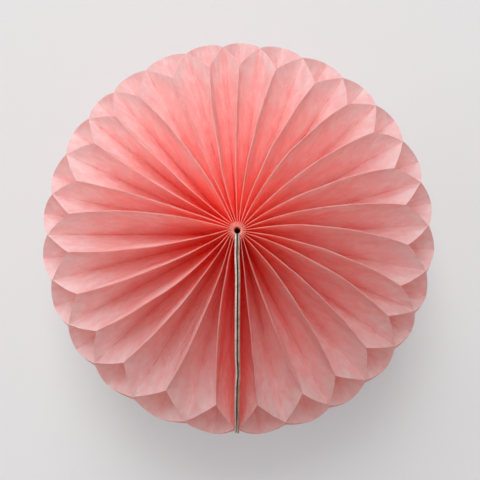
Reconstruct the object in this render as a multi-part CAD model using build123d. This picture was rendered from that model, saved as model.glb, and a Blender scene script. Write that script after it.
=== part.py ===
from build123d import *
import math
import os

# Driving dimensions, in millimetres
BALL_RADIUS = 100.0
TISSUE_THICKNESS = 0.25
GLUE_PITCH = 24.0
GLUE_STRIPES = 6
GLUE_WIDTH = 2.0
BOARD_THICKNESS = 1.0
TAPE_THICKNESS = 0.5
TAPE_WIDTH = 12.0
TAPE_LENGTH = 110.0
TAPE_MARGIN = 12.0
SPINE_RADIUS = 4.0
SPINE_BORE_RADIUS = 1.25
SPINE_WALL = 0.65
SPINE_CLEARANCE = 0.15

# Clock angle of each ridge, in degrees clockwise from the boards, seen from the top
RIDGE_TURNS = [
    7, 24.5, 41.5, 55.5, 69.5, 84, 97, 108.5, 122.5, 134, 144.5, 157.5, 170.5, 180.5,
    193, 207, 220, 233, 247, 260, 273.5, 287.5, 298.5, 311.5, 325.5, 338, 353.5,
]
# Sideways lean of each top flap at its middle, clockwise positive
TOP_LEANS = [
    2.5, -2.5, -3, -4, -3, -3, 3, 1, -1.5, -1.5, 3, -0.5, -2.5, -1,
    -2.5, -3, -4.5, -3.5, -3.5, -3.5, -4, -3.5, -4, -2.5, -3, 1.5, 0,
]
BOTTOM_LEAN = 2.5
FLAP_SPREAD = 0.5
LEAN_REACH = 30.0
FLAP_POINTS = 4

# Sizes that follow from them
SHEETS = 2 * len(RIDGE_TURNS)
HUB_RADIUS = SPINE_RADIUS + SPINE_CLEARANCE
BOARD_FACE = TAPE_THICKNESS / 2 + BOARD_THICKNESS
HUB_EDGE = math.asin(BOARD_FACE / HUB_RADIUS)
RIM_EDGE = math.asin(BOARD_FACE / BALL_RADIUS)
FAN_STEP = 2 * math.pi / SHEETS
LEVELS = [((GLUE_STRIPES - 1) / 2 - k) * GLUE_PITCH for k in range(GLUE_STRIPES)]
FLAP_BASE = LEVELS[0] + GLUE_WIDTH / 2
POLE_HEIGHT = math.sqrt(BALL_RADIUS**2 - HUB_RADIUS**2)
BOARD_START = SPINE_BORE_RADIUS + SPINE_WALL
TAPE_REACH = math.sqrt((BALL_RADIUS - TAPE_MARGIN) ** 2 - (TAPE_LENGTH / 2) ** 2) - TAPE_WIDTH / 2

# Lines of the fan: ridges, and the valleys midway between them
ridges = [math.radians(turn) for turn in RIDGE_TURNS]
valleys = [RIM_EDGE] + [(a + b) / 2 for a, b in zip(ridges, ridges[1:])] + [2 * math.pi - RIM_EDGE]


def outward(turn):
    return Vector(-math.sin(turn), -math.cos(turn), 0)


def clockwise(turn):
    return Vector(-math.cos(turn), math.sin(turn), 0)


def rim_reach(height):
    return math.sqrt(BALL_RADIUS**2 - height**2)


def on_fan(turn, reach, height):
    """Point of a fan line: straight from the spine to the rim, drawn in as the pleats open."""
    squeeze = (math.pi - HUB_EDGE) / (math.pi - RIM_EDGE)
    hub = outward(HUB_EDGE + (turn - RIM_EDGE) * squeeze) * HUB_RADIUS
    rim = outward(turn) * BALL_RADIUS
    share = (reach - HUB_RADIUS) / (BALL_RADIUS - HUB_RADIUS)
    drawn_in = math.sqrt(1 - (reach * FAN_STEP / GLUE_PITCH) ** 2)
    return hub + (rim - hub) * share + Vector(0, 0, height * drawn_in)


def lean_share(reach, height):
    """Sideways lean of a flap: none at its glue stripe or at the spine, one at its middle."""
    middle = BALL_RADIUS * 0.47
    rise = (height - FLAP_BASE) / (rim_reach(middle) - FLAP_BASE)
    ramp = 1 - math.exp((HUB_RADIUS - reach) / LEAN_REACH)
    return rise * ramp / (1 - math.exp((HUB_RADIUS - middle) / LEAN_REACH))


def tissue_sheet(index):
    """One half disc of tissue, glued to one neighbour on odd stripes and to the other on even ones."""
    before = index % 2 == 0
    ridge = index // 2
    valley = (index + 1) // 2
    side = clockwise((ridges[ridge] + valleys[valley]) / 2)
    leaf = side * TISSUE_THICKNESS
    turns = [ridges[ridge] if k % 2 == 0 else valleys[valley] for k in range(GLUE_STRIPES)]
    # Which of its two faces carries the glue: its far face lies one thickness behind
    inset = [leaf * -1 if before == (k % 2 == 0) else Vector(0, 0, 0) for k in range(GLUE_STRIPES)]

    def point(k, reach, height):
        return on_fan(turns[k], reach, height) + inset[k]

    def row(k, height):
        end = rim_reach(height)
        return [point(k, reach, height) for reach in (HUB_RADIUS, (HUB_RADIUS + end) / 2, end)]

    def flap(k, lean, spread):
        up = 1 if k == 0 else -1
        start = math.asin(FLAP_BASE / BALL_RADIUS)
        top = math.asin(POLE_HEIGHT / BALL_RADIUS)
        edge = []
        for n in range(1, FLAP_POINTS + 1):
            rise = start + (top - start) * n / FLAP_POINTS
            reach, height = BALL_RADIUS * math.cos(rise), BALL_RADIUS * math.sin(rise)
            sway = side * ((lean + spread) * lean_share(reach, height))
            edge.append(point(k, reach, up * height) + sway)
        return edge

    facets = []
    rim = []
    spine = []
    lower_row = None
    for k, level in enumerate(LEVELS):
        upper_row = row(k, level + GLUE_WIDTH / 2)
        if lower_row:
            # Twisted span between two stripes, with one point more on the rim
            middle = (level + LEVELS[k - 1]) / 2
            reach = rim_reach(middle)
            bulge = (point(k - 1, reach, middle) + point(k, reach, middle)) * 0.5
            a, b = lower_row, upper_row
            facets += [(a[0], a[1], b[1]), (a[0], b[1], b[0])]
            facets += [(a[1], a[2], bulge), (a[1], bulge, b[1]), (b[1], bulge, b[2])]
            rim.append(bulge)
        lower_row = row(k, level - GLUE_WIDTH / 2)
        facets.append((*upper_row, *reversed(lower_row)))
        rim += [upper_row[2], lower_row[2]]
        spine += [upper_row[0], lower_row[0]]
        if k in (0, GLUE_STRIPES - 1):
            base = upper_row if k == 0 else lower_row
            free = -1 if before == (k % 2 == 0) else 1
            lean = TOP_LEANS[ridge] if k == 0 else BOTTOM_LEAN * math.sin(2 * turns[k])
            alone = k % 2 == 1 and valley in (0, len(ridges))
            edge = flap(k, 0 if alone else lean, 0 if alone else free * FLAP_SPREAD / 2)
            chain = [base[2], *edge]
            fan = [(base[1], p, q) for p, q in zip(chain[:-1], chain[1:-1])]
            fan += [(base[1], edge[-2], base[0]), (base[0], edge[-2], edge[-1])]
            facets += fan if k else [tuple(reversed(f)) for f in fan]
            if k == 0:
                rim = [*reversed(edge[:-1]), *rim]
                spine = [edge[-1], *spine]
            else:
                rim += edge[:-1]
                spine += [edge[-1]]

    outline = [spine[0], *rim, *reversed(spine[1:])]
    faces = []
    for facet in facets:
        faces.append(Face(Wire.make_polygon(facet)))
        faces.append(Face(Wire.make_polygon([p + leaf for p in facet])))
    for p, q in zip(outline, outline[1:] + outline[:1]):
        faces.append(Face(Wire.make_polygon([p, q, q + leaf, p + leaf])))
    return Solid(Shell(faces))


def half_disc(inner, thickness):
    """Half disc standing on the spine, its inner face on the plane x = 0."""
    with BuildPart() as part:
        with BuildSketch(Plane.YZ):
            Circle(BALL_RADIUS)
            with Locations((-inner, 0)):
                Rectangle(
                    2 * BALL_RADIUS, 2 * BALL_RADIUS, align=(Align.MIN, Align.CENTER), mode=Mode.SUBTRACT
                )
        extrude(amount=thickness)
    return part.part


# Spine binding: the glued sheet ends, with the hole, a slot for the boards and the slit between them
with BuildPart() as spine_part:
    Cylinder(SPINE_RADIUS, 2 * POLE_HEIGHT)
    Cylinder(SPINE_BORE_RADIUS, 2 * POLE_HEIGHT, mode=Mode.SUBTRACT)
    for width, start in ((TAPE_THICKNESS, 0), (2 * BOARD_FACE, BOARD_START)):
        with Locations((0, -start, 0)):
            Box(
                width, SPINE_RADIUS, 2 * POLE_HEIGHT,
                align=(Align.CENTER, Align.MAX, Align.CENTER), mode=Mode.SUBTRACT,
            )

# Boards on either side of the slit, closed by double-sided tape
board = half_disc(BOARD_START, BOARD_THICKNESS)
right_board = board.moved(Location((TAPE_THICKNESS / 2, 0, 0)))
left_board = board.moved(Location((-BOARD_FACE, 0, 0)))
tape = Pos(0, -TAPE_REACH, 0) * Box(TAPE_THICKNESS, TAPE_WIDTH, TAPE_LENGTH)

os.makedirs("parts", exist_ok=True)
for index in range(SHEETS):
    export_step(tissue_sheet(index), f"parts/tissue_sheet_{index + 1:02d}.step")
export_step(left_board, "parts/left_board.step")
export_step(right_board, "parts/right_board.step")
export_step(spine_part.part, "parts/spine_binding.step")
export_step(tape, "parts/closing_tape.step")
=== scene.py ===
import math

import bmesh
import bpy
from mathutils import Matrix, Vector, noise


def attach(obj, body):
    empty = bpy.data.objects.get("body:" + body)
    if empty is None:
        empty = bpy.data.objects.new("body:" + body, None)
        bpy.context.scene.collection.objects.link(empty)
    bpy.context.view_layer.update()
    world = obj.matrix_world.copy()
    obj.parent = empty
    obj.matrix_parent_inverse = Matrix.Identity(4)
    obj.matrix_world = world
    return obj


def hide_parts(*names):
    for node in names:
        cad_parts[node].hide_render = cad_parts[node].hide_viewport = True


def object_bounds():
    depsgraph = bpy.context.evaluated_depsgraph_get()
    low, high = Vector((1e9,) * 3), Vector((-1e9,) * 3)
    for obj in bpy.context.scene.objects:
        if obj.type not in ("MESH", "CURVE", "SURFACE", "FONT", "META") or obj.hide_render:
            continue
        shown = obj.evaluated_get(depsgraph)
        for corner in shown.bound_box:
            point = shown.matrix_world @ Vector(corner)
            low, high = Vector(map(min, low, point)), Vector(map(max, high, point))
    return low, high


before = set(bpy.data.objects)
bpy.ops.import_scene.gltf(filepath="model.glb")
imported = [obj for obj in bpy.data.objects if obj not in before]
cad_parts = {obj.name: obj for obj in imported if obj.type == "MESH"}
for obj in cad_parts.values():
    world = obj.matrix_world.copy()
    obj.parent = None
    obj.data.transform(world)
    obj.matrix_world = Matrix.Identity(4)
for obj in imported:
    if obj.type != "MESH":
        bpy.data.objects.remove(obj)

cad_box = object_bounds()
MM = 0.001

# Sizes in millimetres and degrees. Sheets and glue stripes are finer than the solids', and the boards start nearer
# the axis
RADIUS = 100.0
LEAF = 0.1
PITCH = 24.0
STRIPES = 6
STRIPE_WIDTH = 1.2
BOARD = 1.0
GAP = 0.5
SPINE = 4.0
BORE = 1.25
HUB = 4.15
BOARD_START = 1.4
TAPE_WIDTH = 12.0
TAPE_LENGTH = 110.0
TAPE_REACH = 62.7
RIDGE_TURNS = [
    7, 24.5, 41.5, 55.5, 69.5, 84, 97, 108.5, 122.5, 134, 144.5, 157.5, 170.5, 180.5,
    193, 207, 220, 233, 247, 260, 273.5, 287.5, 298.5, 311.5, 325.5, 338, 353.5,
]
TOP_LEANS = [
    2.5, -2.5, -3, -4, -3, -3, 3, 1, -1.5, -1.5, 3, -0.5, -2.5, -1,
    -2.5, -3, -4.5, -3.5, -3.5, -3.5, -4, -3.5, -4, -2.5, -3, 1.5, 0,
]
BOTTOM_LEAN = 2.5
FLAP_SPREAD = 0.12
LEAN_REACH = 30.0
LEAN_PLACE = 0.47 * RADIUS

# The paper's ripples: depth, length along the reach, length along the height and seed
FLAP_RIPPLES = [(0.45, 17, 19, 0.0), (0.15, 7, 12, 0.5)]
WALL_RIPPLES = [(0.5, 13, 11, 0.2), (0.2, 5, 6, 0.7)]
RIPPLE_START = 12.0
RIPPLE_GROWTH = 40.0
TIP_FULLNESS = 0.25

# The boards' ends beside the poles, how short of the rim they are, and how their cut edge is pressed and frayed
BOARD_END = 0.4
BOARD_SHORT = 1.1
BOARD_TRIM = 0.12
PRESSED = 0.18
PRESSED_FROM = 9.0
PRESSED_OVER = 7.0
CUT_ROUGHNESS = 0.12
FLUFF = 0.06
BOARD_COLUMNS = 12
BOARD_ROWS = 420
BOARD_MARKS = ("lined", "inner", "brown")

# Rings of the spine's end, and the steps from one fold to the next
SPINE_RINGS = [1.25, 1.32, 1.41, 1.5, 1.7, 1.9, 2.1, 2.4, 2.7, 3.0, 3.3, 3.6, 3.85, 4.0]
FOLD_STEPS = 16
FOLD_HALF_WIDTH = 0.12
GROOVE_SIDE = 0.2
GROOVE_DEPTH = 2.4
HOLE_DIP = 0.9
UNEVENNESS = 0.12

# The tape's edges are cut back a little and ragged
TAPE_TRIM = 0.15
TAPE_RAGGED = 0.12
TAPE_COLUMNS = 12
TAPE_ROWS = 110

MERGED_WITHIN = 0.00002
SHARP_ANGLE = 1.0

BOARD_FACE = GAP / 2 + BOARD
HUB_EDGE = math.asin(BOARD_FACE / HUB)
RIM_EDGE = math.asin(BOARD_FACE / RADIUS)
SQUEEZE = (math.pi - HUB_EDGE) / (math.pi - RIM_EDGE)
SHEETS = 2 * len(RIDGE_TURNS)
FAN_STEP = 2 * math.pi / SHEETS
LEVELS = [((STRIPES - 1) / 2 - k) * PITCH for k in range(STRIPES)]
FLAP_BASE = LEVELS[0] + STRIPE_WIDTH / 2
POLE = math.sqrt(RADIUS**2 - HUB**2)
RIDGES = [math.radians(turn) for turn in RIDGE_TURNS]
VALLEYS = [RIM_EDGE] + [(a + b) / 2 for a, b in zip(RIDGES, RIDGES[1:])] + [2 * math.pi - RIM_EDGE]

scene = bpy.context.scene
scene.view_settings.view_transform = "Standard"
# Light passes many sheets before it leaves the ball
BOUNCES = 128
scene.cycles.max_bounces = BOUNCES
scene.cycles.diffuse_bounces = BOUNCES
scene.cycles.transmission_bounces = BOUNCES

# Camera, placed by the photograph's perspective: almost straight down on the pole
CAMERA_DISTANCE = 6.386 * RADIUS * MM
FOCAL_PIXELS = 1240.7
PICTURE_PIXELS = 480
SENSOR = 36.0
camera = bpy.data.cameras.new("camera")
camera.sensor_width = SENSOR
camera.lens = FOCAL_PIXELS / PICTURE_PIXELS * SENSOR
camera_object = bpy.data.objects.new("camera", camera)
scene.collection.objects.link(camera_object)
scene.camera = camera_object
back = Vector((0.0051, -0.037, 1.0)).normalized()
aim = Vector((0.00085, -0.00057, 0.0))
place = back * CAMERA_DISTANCE
towards = (place - aim).normalized()
right = Vector((0, 1, 0)).cross(towards).normalized()
up = towards.cross(right)
camera_object.matrix_world = Matrix.Translation(place) @ Matrix((right, up, towards)).transposed().to_4x4()


def outward(turn):
    return Vector((-math.sin(turn), -math.cos(turn), 0))


def clockwise(turn):
    return Vector((-math.cos(turn), math.sin(turn), 0))


def rim_reach(height):
    return math.sqrt(max(RADIUS**2 - height**2, HUB**2))


def on_fan(turn, reach):
    hub = outward(HUB_EDGE + (turn - RIM_EDGE) * SQUEEZE) * HUB
    return hub.lerp(outward(turn) * RADIUS, (reach - HUB) / (RADIUS - HUB))


def lean_share(reach, height):
    rise = (height - FLAP_BASE) / (rim_reach(LEAN_PLACE) - FLAP_BASE)
    growth = 1 - math.exp((HUB - reach) / LEAN_REACH)
    return rise * growth / (1 - math.exp((HUB - LEAN_PLACE) / LEAN_REACH))


def wave(x, y, seed):
    return noise.noise(Vector((x, y, seed * 5.37 + 0.31)))


def ripples(sizes, x, y, seed):
    return sum(depth * wave(x / along, y / up, seed + shift) for depth, along, up, shift in sizes)


def smooth(t):
    t = min(max(t, 0.0), 1.0)
    return t * t * (3 - 2 * t)


# The seam sways a little along the rim, and the paper beside it follows: degrees from the pole, millimetres
SWAY = [
    (0, 0.0), (6, -0.1), (12, 0.2), (23, 0.0), (33, -0.1), (40, 0.25), (45, -0.25), (55, -0.45),
    (75, -0.6), (95, -0.6), (130, -0.3), (180, 0.0),
]
SWAY_WIDTH = 9.0
SWAY_START = 12.0


def swayed(p):
    turn = math.degrees(math.atan2(-p.y, p.z))
    if not 0 < turn < 180:
        return p
    (a, low), (b, high) = next(pair for pair in zip(SWAY, SWAY[1:]) if turn <= pair[1][0])
    sway = low + (high - low) * smooth((turn - a) / (b - a))
    near = math.exp(-((p.x / SWAY_WIDTH) ** 2)) * (p.y**2 + p.z**2) / RADIUS**2 * smooth(-p.y / SWAY_START)
    return p + Vector((sway * near, 0, 0))


# Rows of a sheet's grid, from the top pole down, with lines on both edges of each stripe
CAP_ROWS = 18
SPAN_ROWS = 7
COLUMNS = 32
cap = [math.asin(POLE / RADIUS), math.asin(FLAP_BASE / RADIUS)]
cap_heights = [RADIUS * math.sin(cap[0] + (cap[1] - cap[0]) * n / CAP_ROWS) for n in range(CAP_ROWS)]
heights = list(cap_heights)
stripe_rows = []
for k, level in enumerate(LEVELS):
    stripe_rows += [len(heights), len(heights) + 1]
    heights += [level + STRIPE_WIDTH / 2, level - STRIPE_WIDTH / 2]
    if k < STRIPES - 1:
        gap = PITCH - STRIPE_WIDTH
        heights += [level - STRIPE_WIDTH / 2 - gap * n / SPAN_ROWS for n in range(1, SPAN_ROWS)]
heights += [-h for h in reversed(cap_heights)]
ROWS = len(heights) - 1


def link(name, bm, nodes, material):
    mesh = bpy.data.meshes.new(name)
    bm.to_mesh(mesh)
    bm.free()
    piece = bpy.data.objects.new(name, mesh)
    scene.collection.objects.link(piece)
    mesh.materials.append(material)
    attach(piece, "root")
    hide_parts(*nodes)
    return piece


def tissue_sheet(index, material):
    before = index % 2 == 0
    ridge = index // 2
    valley = (index + 1) // 2
    side = clockwise((RIDGES[ridge] + VALLEYS[valley]) / 2)
    leaf = side * LEAF
    turns = [RIDGES[ridge] if k % 2 == 0 else VALLEYS[valley] for k in range(STRIPES)]
    inset = [leaf * -1 if before == (k % 2 == 0) else Vector((0, 0, 0)) for k in range(STRIPES)]

    def plan(k, reach):
        return on_fan(turns[k], reach) + inset[k]

    def point(height, share):
        reach = HUB + share * (rim_reach(height) - HUB)
        drawn_in = math.sqrt(1 - (reach * FAN_STEP / PITCH) ** 2)
        level = (STRIPES - 1) / 2 - height / PITCH
        flap = abs(height) - FLAP_BASE
        if flap > 0:
            k = 0 if height > 0 else STRIPES - 1
            flat = plan(k, reach)
            alone = k > 0 and valley in (0, len(RIDGES))
            if not alone:
                pair = ridge if k == 0 else 40 + valley
                lean = TOP_LEANS[ridge] if k == 0 else BOTTOM_LEAN * math.sin(2 * turns[k])
                free = -1 if before == (k == 0) else 1
                share_here = lean_share(reach, abs(height))
                ripple = ripples(FLAP_RIPPLES, reach, flap, pair)
                open_by = FLAP_SPREAD * (0.7 + 0.6 * wave(reach / 23, flap / 30, pair + 9))
                flat = flat + side * (share_here * (lean + ripple + free * open_by))
        else:
            k = min(max(int(level), 0), STRIPES - 2)
            t = ((LEVELS[k] - STRIPE_WIDTH / 2) - height) / (PITCH - STRIPE_WIDTH)
            t = min(max(t, 0.0), 1.0)
            fuller = {0: TIP_FULLNESS, STRIPES - 2: -TIP_FULLNESS}.get(k, 0.0)
            bend = t + fuller * t * (1 - t)
            flat = plan(k, reach).lerp(plan(k + 1, reach), bend)
            free_share = math.sin(math.pi * t) * smooth((reach - RIPPLE_START) / RIPPLE_GROWTH)
            flat = flat + side * (free_share * ripples(WALL_RIPPLES, reach, height, index))
        return swayed(flat + Vector((0, 0, height * drawn_in))) * MM

    bm = bmesh.new()
    bmesh.ops.create_grid(bm, x_segments=COLUMNS, y_segments=ROWS, size=1.0)
    glue = bm.verts.layers.float.new("glue")
    for v in bm.verts:
        row = round((1 - v.co.y) / 2 * ROWS)
        share = (v.co.x + 1) / 2
        v[glue] = 1.0 if row in stripe_rows[2:-2] else 0.0
        v.co = point(heights[row], share)
    for e in bm.edges:
        e.smooth = not (e.verts[0][glue] and e.verts[1][glue])
    bmesh.ops.remove_doubles(bm, verts=bm.verts, dist=MERGED_WITHIN)
    for f in bm.faces:
        f.smooth = True
    shell = bmesh.ops.extrude_face_region(bm, geom=bm.faces[:], use_keep_orig=True)
    moved = [g for g in shell["geom"] if isinstance(g, bmesh.types.BMVert)]
    bmesh.ops.translate(bm, verts=moved, vec=leaf * MM)
    bmesh.ops.recalc_face_normals(bm, faces=bm.faces)
    for e in bm.edges:
        if len(e.link_faces) == 2 and e.calc_face_angle(0) > SHARP_ANGLE:
            e.smooth = False
    name = f"tissue_sheet_{index + 1:02d}"
    return link("paper_" + name, bm, [name], material)


def board(node, start, material):
    bm = bmesh.new()
    for name in BOARD_MARKS:
        bm.verts.layers.float.new(name)
    lined, inner, brown = (bm.verts.layers.float[name] for name in BOARD_MARKS)
    bmesh.ops.create_grid(bm, x_segments=BOARD_COLUMNS, y_segments=BOARD_ROWS, size=1.0)
    first = math.asin((BOARD_START + BOARD_END) / RADIUS)
    for v in bm.verts:
        turn = first + (math.pi - 2 * first) * (1 - v.co.y) / 2
        share = (v.co.x + 1) / 2
        frayed = 0.09 * wave(turn * 55, 0, start) + 0.06 * wave(turn * 140, 3, start) - BOARD_TRIM
        frayed -= BOARD_SHORT * math.sin(turn) ** 6
        rim = RADIUS * math.sin(turn) + frayed * smooth(math.sin(turn) * 8)
        reach = BOARD_START + (rim - BOARD_START) * share
        v.co = Vector((start, -reach, (RADIUS + frayed * share) * math.cos(turn))) * MM
    shell = bmesh.ops.extrude_face_region(bm, geom=bm.faces[:], use_keep_orig=True)
    moved = [g for g in shell["geom"] if isinstance(g, bmesh.types.BMVert)]
    bmesh.ops.translate(bm, verts=moved, vec=(BOARD * MM, 0, 0))
    bmesh.ops.recalc_face_normals(bm, faces=bm.faces)
    for e in bm.edges:
        e.smooth = e.calc_face_angle(0) < SHARP_ANGLE

    # The cut edge is rough across its thickness
    across = [e for e in bm.edges if abs(e.verts[0].co.x - e.verts[1].co.x) > 0.5 * BOARD * MM]
    cut = bmesh.ops.subdivide_edges(bm, edges=across, cuts=3)
    for v in [g for g in cut["geom_inner"] if isinstance(g, bmesh.types.BMVert)]:
        p = v.co / MM
        v.co += Vector((0, p.y, p.z)).normalized() * CUT_ROUGHNESS * wave(p.y / 0.8, p.z / 0.8, p.x * 2) * MM
    for v in bm.verts:
        p = v.co / MM
        v[lined] = float(abs(p.x) > BOARD_FACE - 0.01)
        # Marks the faces inside the gap, which the material paints a darker grey, partly as painted shade between the
        # boards
        v[inner] = float(abs(p.x) < GAP / 2 + 0.01)
        v[brown] = float(start > 0)
        pressed = PRESSED * smooth((math.hypot(p.y, p.z) - RADIUS + PRESSED_FROM) / PRESSED_OVER)
        p.x = math.copysign(GAP / 2 + (abs(p.x) - GAP / 2) * (1 - pressed), p.x)
        fluff = FLUFF * wave(p.y / 0.9, p.z / 0.9, p.x)
        v.co = (swayed(p) + Vector((fluff, 0, 0))) * MM
    for f in bm.faces:
        f.smooth = True
    return link("card_" + node, bm, [node], material)


def slot_edge(radius):
    if radius * math.cos(math.asin(GAP / 2 / radius)) < BOARD_START:
        return math.asin(GAP / 2 / radius)
    if radius < math.hypot(BOARD_FACE, BOARD_START):
        return math.acos(BOARD_START / radius)
    return math.asin(BOARD_FACE / radius)


def spine(material):
    folds = [HUB_EDGE + (turn - RIM_EDGE) * SQUEEZE for turn in RIDGES]
    rings = len(SPINE_RINGS) - 1
    parts = len(folds) + 1
    bm = bmesh.new()
    bmesh.ops.create_grid(bm, x_segments=rings, y_segments=FOLD_STEPS * parts, size=1.0)
    for v in bm.verts:
        radius = SPINE_RINGS[round((v.co.x + 1) / 2 * rings)]
        edge = slot_edge(radius)
        marks = [edge, *folds, 2 * math.pi - edge]
        step = round((1 - v.co.y) / 2 * FOLD_STEPS * parts)
        part = min(step // FOLD_STEPS, parts - 1)
        turn = marks[part] + (marks[part + 1] - marks[part]) * (step / FOLD_STEPS - part)
        out = (radius - BORE) / (SPINE - BORE)
        away = min(abs(turn - fold) for fold in folds) * radius
        groove = smooth((away - FOLD_HALF_WIDTH) / GROOVE_SIDE)
        uneven = wave(turn * 3, radius / 2, 8)
        dip = HOLE_DIP * (1 - out) ** 8 + groove * (0.1 + GROOVE_DEPTH * smooth(out * 1.2))
        dip += UNEVENNESS * (1 + uneven)
        reach = radius + (1 - out) ** 4 * (0.2 + 0.25 * wave(turn * 1.6, 0, 3)) - out**4 * 0.12 * groove
        v.co = (outward(turn) * reach + Vector((0, 0, POLE - dip))) * MM
    shell = bmesh.ops.extrude_face_region(bm, geom=bm.faces[:], use_keep_orig=True)
    for v in [g for g in shell["geom"] if isinstance(g, bmesh.types.BMVert)]:
        v.co.z = -v.co.z
    bmesh.ops.recalc_face_normals(bm, faces=bm.faces)
    for f in bm.faces:
        f.smooth = True
    for e in bm.edges:
        if len(e.link_faces) == 2 and e.calc_face_angle(0) > SHARP_ANGLE:
            e.smooth = False
    return link("bound_spine", bm, ["spine_binding"], material)


def tape(material):
    bm = bmesh.new()
    bmesh.ops.create_grid(bm, x_segments=TAPE_COLUMNS, y_segments=TAPE_ROWS, size=1.0)
    for v in bm.verts:
        ragged = TAPE_RAGGED * wave(v.co.y * 40, v.co.x * 3, 2)
        across = -TAPE_REACH + v.co.x * (TAPE_WIDTH / 2 - TAPE_TRIM + ragged)
        v.co = Vector((-GAP / 2, across, v.co.y * TAPE_LENGTH / 2)) * MM
    shell = bmesh.ops.extrude_face_region(bm, geom=bm.faces[:], use_keep_orig=True)
    moved = [g for g in shell["geom"] if isinstance(g, bmesh.types.BMVert)]
    bmesh.ops.translate(bm, verts=moved, vec=(GAP * MM, 0, 0))
    bmesh.ops.recalc_face_normals(bm, faces=bm.faces)
    for v in bm.verts:
        v.co = swayed(v.co / MM) * MM
    return link("white_tape", bm, ["closing_tape"], material)


def nodes_of(name):
    material = bpy.data.materials.new(name)
    material.use_nodes = True
    tree = material.node_tree
    tree.nodes.clear()
    return material, tree


def add(tree, kind, **inputs):
    node = tree.nodes.new(kind)
    for key, value in inputs.items():
        node.inputs[key.replace("_", " ")].default_value = value
    return node


def ramp(tree, factor, stops):
    node = tree.nodes.new("ShaderNodeValToRGB")
    while len(node.color_ramp.elements) < len(stops):
        node.color_ramp.elements.new(0.5)
    for element, (position, colour) in zip(node.color_ramp.elements, stops):
        element.position = position
        element.color = (*colour, 1)
    tree.links.new(factor, node.inputs["Fac"])
    return node.outputs["Color"]


def blend(tree, factor, a, b, mode="MIX"):
    node = tree.nodes.new("ShaderNodeMix")
    node.data_type = "RGBA"
    node.blend_type = mode
    for socket, source in zip([i for i in node.inputs if i.enabled], (factor, a, b)):
        if isinstance(source, float):
            socket.default_value = source
        else:
            tree.links.new(source, socket)
    return next(o for o in node.outputs if o.enabled)


def join(tree, shader):
    out = tree.nodes.new("ShaderNodeOutputMaterial")
    tree.links.new(shader, out.inputs["Surface"])


def paper_surface_group():
    group = bpy.data.node_groups.new("paper_surface", "ShaderNodeTree")
    for name in ("Crumple Scale", "Crumple", "Crinkle Scale", "Crinkle", "Fibre Scale", "Fibre"):
        group.interface.new_socket(name, in_out="INPUT", socket_type="NodeSocketFloat")
    for name, kind in (("Cloud", "NodeSocketFloat"), ("Fleck", "NodeSocketFloat"), ("Normal", "NodeSocketVector")):
        group.interface.new_socket(name, in_out="OUTPUT", socket_type=kind)
    given = group.nodes.new("NodeGroupInput").outputs
    result = group.nodes.new("NodeGroupOutput").inputs
    where = group.nodes.new("ShaderNodeTexCoord").outputs["Object"]
    cloud = add(group, "ShaderNodeTexNoise", Detail=4.0, Roughness=0.6, Distortion=0.5)
    fleck = add(group, "ShaderNodeTexNoise", Detail=4.0, Roughness=0.7)
    facets = group.nodes.new("ShaderNodeTexVoronoi")
    facets.feature = "F1"
    folds = add(group, "ShaderNodeBump", Distance=0.001)
    crinkles = add(group, "ShaderNodeBump", Distance=0.001)
    grain = add(group, "ShaderNodeBump", Distance=0.0003)
    for node, scale in ((cloud, "Crumple Scale"), (facets, "Crinkle Scale"), (fleck, "Fibre Scale")):
        group.links.new(where, node.inputs["Vector"])
        group.links.new(given[scale], node.inputs["Scale"])
    heights = (
        (folds, cloud.outputs["Fac"], "Crumple"),
        (crinkles, facets.outputs["Distance"], "Crinkle"),
        (grain, fleck.outputs["Fac"], "Fibre"),
    )
    for node, height, strength in heights:
        group.links.new(height, node.inputs["Height"])
        group.links.new(given[strength], node.inputs["Strength"])
    group.links.new(folds.outputs["Normal"], crinkles.inputs["Normal"])
    group.links.new(crinkles.outputs["Normal"], grain.inputs["Normal"])
    group.links.new(cloud.outputs["Fac"], result["Cloud"])
    group.links.new(fleck.outputs["Fac"], result["Fleck"])
    group.links.new(grain.outputs["Normal"], result["Normal"])
    return group


paper_surface = paper_surface_group()


def surface(tree, crumple, crinkle, fibre):
    node = tree.nodes.new("ShaderNodeGroup")
    node.node_tree = paper_surface
    for key, (scale, strength) in (("Crumple", crumple), ("Crinkle", crinkle), ("Fibre", fibre)):
        node.inputs[key + " Scale"].default_value = scale
        node.inputs[key].default_value = strength
    return node.outputs


LET_THROUGH = 0.26


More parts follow.
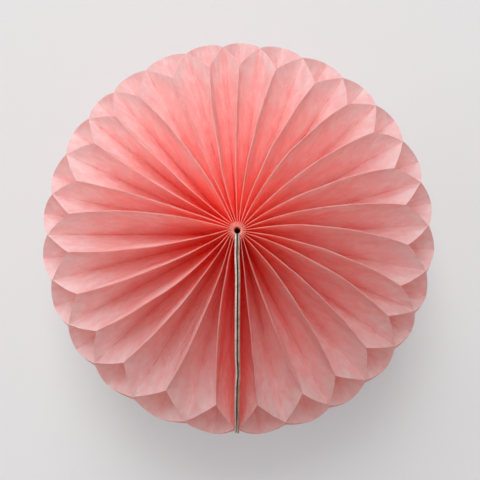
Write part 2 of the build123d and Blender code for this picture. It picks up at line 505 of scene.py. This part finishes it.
def tissue_material():
    material, tree = nodes_of("pink_tissue")
    paper = surface(tree, (130.0, 0.8), (150.0, 0.45), (900.0, 0.15))

    # Painted light and shade: the colour is painted palest at the single sheets of the rim, as if lit, and deepens to
    # a painted shade of red towards the axis, where the folds lie closest
    flat = add(tree, "ShaderNodeVectorMath")
    flat.operation = "MULTIPLY"
    flat.inputs[1].default_value = (1, 1, 0)
    tree.links.new(tree.nodes.new("ShaderNodeTexCoord").outputs["Object"], flat.inputs[0])
    reach = add(tree, "ShaderNodeVectorMath")
    reach.operation = "LENGTH"
    tree.links.new(flat.outputs["Vector"], reach.inputs[0])
    painted_shade_masks = []
    for start, end in ((0.055, 0.095), (0.040, 0.006)):
        shade = add(tree, "ShaderNodeMapRange", From_Min=start, From_Max=end)
        tree.links.new(reach.outputs["Value"], shade.inputs["Value"])
        painted_shade_masks.append(shade.outputs["Result"])

    # Blends the rim, middle and deep tones by reach from the axis: painted light at the rim, painted shade near the
    # axis
    def painted_light_by_reach(rim, middle, deep):
        tones = [ramp(tree, paper["Cloud"], [(0.36, low), (0.64, high)]) for low, high in (rim, middle, deep)]
        return blend(tree, painted_shade_masks[1], blend(tree, painted_shade_masks[0], tones[1], tones[0]), tones[2])

    # The tint of light let through, the one that the eye sees, and the paler one in which the sheets light each other
    glow = ramp(tree, paper["Cloud"], [(0.36, (0.998, 0.46, 0.41)), (0.64, (0.999, 0.62, 0.57))])
    seen = painted_light_by_reach(
        ((0.955, 0.73, 0.765), (0.970, 0.88, 0.915)),
        ((0.990, 0.57, 0.58), (0.995, 0.73, 0.74)),
        ((0.990, 0.32, 0.26), (0.995, 0.44, 0.37)),
    )
    passed_on = painted_light_by_reach(
        ((0.997, 0.94, 0.95), (0.999, 0.995, 0.995)),
        ((0.997, 0.93, 0.93), (0.999, 0.995, 0.99)),
        ((0.997, 0.70, 0.63), (0.999, 0.82, 0.76)),
    )

    # Light is reflected or let through once at a sheet's first face, and leaves at its second
    inside = tree.nodes.new("ShaderNodeNewGeometry").outputs["Backfacing"]
    front = add(tree, "ShaderNodeBsdfPrincipled", Roughness=0.82, Specular_IOR_Level=0.2)
    through = tree.nodes.new("ShaderNodeBsdfTranslucent")
    leaving = add(tree, "ShaderNodeBsdfTranslucent", Color=(0.999, 0.999, 0.999, 1))
    first = add(tree, "ShaderNodeMixShader", Fac=LET_THROUGH)
    both = tree.nodes.new("ShaderNodeMixShader")
    looked_at = tree.nodes.new("ShaderNodeLightPath").outputs["Is Camera Ray"]
    tree.links.new(blend(tree, looked_at, passed_on, seen), front.inputs["Base Color"])
    tree.links.new(paper["Normal"], front.inputs["Normal"])
    tree.links.new(glow, through.inputs["Color"])
    tree.links.new(front.outputs["BSDF"], first.inputs[1])
    tree.links.new(through.outputs["BSDF"], first.inputs[2])
    tree.links.new(inside, both.inputs["Fac"])
    tree.links.new(first.outputs["Shader"], both.inputs[1])
    tree.links.new(leaving.outputs["BSDF"], both.inputs[2])
    join(tree, both.outputs["Shader"])
    return material


def board_material():
    material, tree = nodes_of("greyboard")
    paper = surface(tree, (160.0, 0.4), (500.0, 0.2), (1300.0, 0.5))
    marks = {}
    for name in BOARD_MARKS:
        mark = tree.nodes.new("ShaderNodeAttribute")
        mark.attribute_name = name
        marks[name] = mark.outputs["Fac"]
    pale = ramp(tree, paper["Cloud"], [(0.35, (0.76, 0.75, 0.70)), (0.65, (0.93, 0.92, 0.88))])
    dark = ramp(tree, paper["Cloud"], [(0.35, (0.34, 0.29, 0.23)), (0.65, (0.54, 0.47, 0.39))])
    # The faces inside the gap get a darker grey: partly greyboard's own grey, partly painted shade between the boards
    grey_and_gap_shade = ramp(tree, paper["Cloud"], [(0.35, (0.18, 0.17, 0.15)), (0.65, (0.30, 0.28, 0.25))])
    specks = ramp(tree, paper["Fleck"], [(0.34, (0.55, 0.53, 0.50)), (0.52, (1.0, 1.0, 1.0))])
    edge = blend(tree, 1.0, blend(tree, marks["brown"], pale, dark), specks, "MULTIPLY")
    tone = blend(tree, marks["inner"], edge, grey_and_gap_shade)

    # The outer face is lined with the tissue that is pasted to it, in the deep red of the tissue near the axis:
    # partly the tissue's own colour, partly painted shade
    deep_lining_with_painted_shade = ramp(tree, paper["Cloud"], [(0.35, (0.94, 0.30, 0.26)), (0.65, (0.97, 0.42, 0.37))])
    card = add(tree, "ShaderNodeBsdfPrincipled", Roughness=0.9)
    tree.links.new(blend(tree, marks["lined"], tone, deep_lining_with_painted_shade), card.inputs["Base Color"])
    tree.links.new(paper["Normal"], card.inputs["Normal"])
    join(tree, card.outputs["BSDF"])
    return material


def plain_paper_material(name, low, high, crumple, roughness):
    material, tree = nodes_of(name)
    paper = surface(tree, (300.0, crumple), (700.0, 0.2), (1100.0, 0.3))
    colour = ramp(tree, paper["Cloud"], [(0.3, low), (0.7, high)])
    sheet = add(tree, "ShaderNodeBsdfPrincipled", Roughness=roughness)
    tree.links.new(colour, sheet.inputs["Base Color"])
    tree.links.new(paper["Normal"], sheet.inputs["Normal"])
    join(tree, sheet.outputs["BSDF"])
    return material


def floor_material():
    material, tree = nodes_of("floor")
    lit = add(tree, "ShaderNodeBsdfDiffuse", Color=(0.82, 0.74, 0.70, 1))
    seen = add(tree, "ShaderNodeBsdfDiffuse", Color=(0.60, 0.60, 0.60, 1))
    pale = add(tree, "ShaderNodeEmission", Color=(0.211, 0.262, 0.280, 1))
    shaded = tree.nodes.new("ShaderNodeAddShader")
    tree.links.new(seen.outputs["BSDF"], shaded.inputs[0])
    tree.links.new(pale.outputs["Emission"], shaded.inputs[1])
    paint = tree.nodes.new("ShaderNodeMixShader")
    tree.links.new(tree.nodes.new("ShaderNodeLightPath").outputs["Is Camera Ray"], paint.inputs["Fac"])
    tree.links.new(lit.outputs["BSDF"], paint.inputs[1])
    tree.links.new(shaded.outputs["Shader"], paint.inputs[2])
    join(tree, paint.outputs["Shader"])
    return material


tissue = tissue_material()
for index in range(SHEETS):
    tissue_sheet(index, tissue)
greyboard = board_material()
board("left_board", -BOARD_FACE, greyboard)
board("right_board", GAP / 2, greyboard)
spine(plain_paper_material("bound_edge", (0.93, 0.30, 0.25), (0.97, 0.44, 0.38), 0.5, 0.75))
tape(plain_paper_material("white_tape", (0.70, 0.68, 0.64), (0.82, 0.80, 0.76), 0.3, 0.6))

# Floor, light and surroundings
bm = bmesh.new()
bmesh.ops.create_grid(bm, x_segments=1, y_segments=1, size=3.0)
mesh = bpy.data.meshes.new("floor")
bm.to_mesh(mesh)
bm.free()
mesh.materials.append(floor_material())
floor = bpy.data.objects.new("floor", mesh)
floor.location.z = cad_box[0][2]
scene.collection.objects.link(floor)


def area_light(name, place, size, energy):
    lamp = bpy.data.lights.new(name, "AREA")
    lamp.shape = "RECTANGLE"
    lamp.size, lamp.size_y = size
    lamp.energy = energy
    lamp_object = bpy.data.objects.new(name, lamp)
    lamp_object.location = place
    lamp_object.rotation_euler = (-Vector(place)).to_track_quat("-Z", "Y").to_euler()
    scene.collection.objects.link(lamp_object)


area_light("ceiling", (-0.04, 0.40, 2.15), (0.7, 0.6), 5.2)
area_light("high", (-0.10, 0.78, 2.03), (0.7, 0.6), 11.8)
area_light("slant", (-0.25, 1.45, 1.55), (0.9, 0.6), 7)
area_light("window", (-0.40, 1.75, 1.05), (1.6, 0.7), 6)
area_light("side", (-1.85, 0.50, 0.95), (1.2, 0.7), 5.2)

world = bpy.data.worlds.new("world")
scene.world = world
world.use_nodes = True
tree = world.node_tree
tree.nodes.clear()
room = add(tree, "ShaderNodeBackground", Color=(1, 0.75, 0.69, 1), Strength=0.36)
backdrop = add(tree, "ShaderNodeBackground", Color=(0.78, 0.77, 0.77, 1), Strength=1.0)
around = tree.nodes.new("ShaderNodeMixShader")
tree.links.new(tree.nodes.new("ShaderNodeLightPath").outputs["Is Camera Ray"], around.inputs["Fac"])
tree.links.new(room.outputs["Background"], around.inputs[1])
tree.links.new(backdrop.outputs["Background"], around.inputs[2])
tree.links.new(around.outputs["Shader"], tree.nodes.new("ShaderNodeOutputWorld").inputs["Surface"])
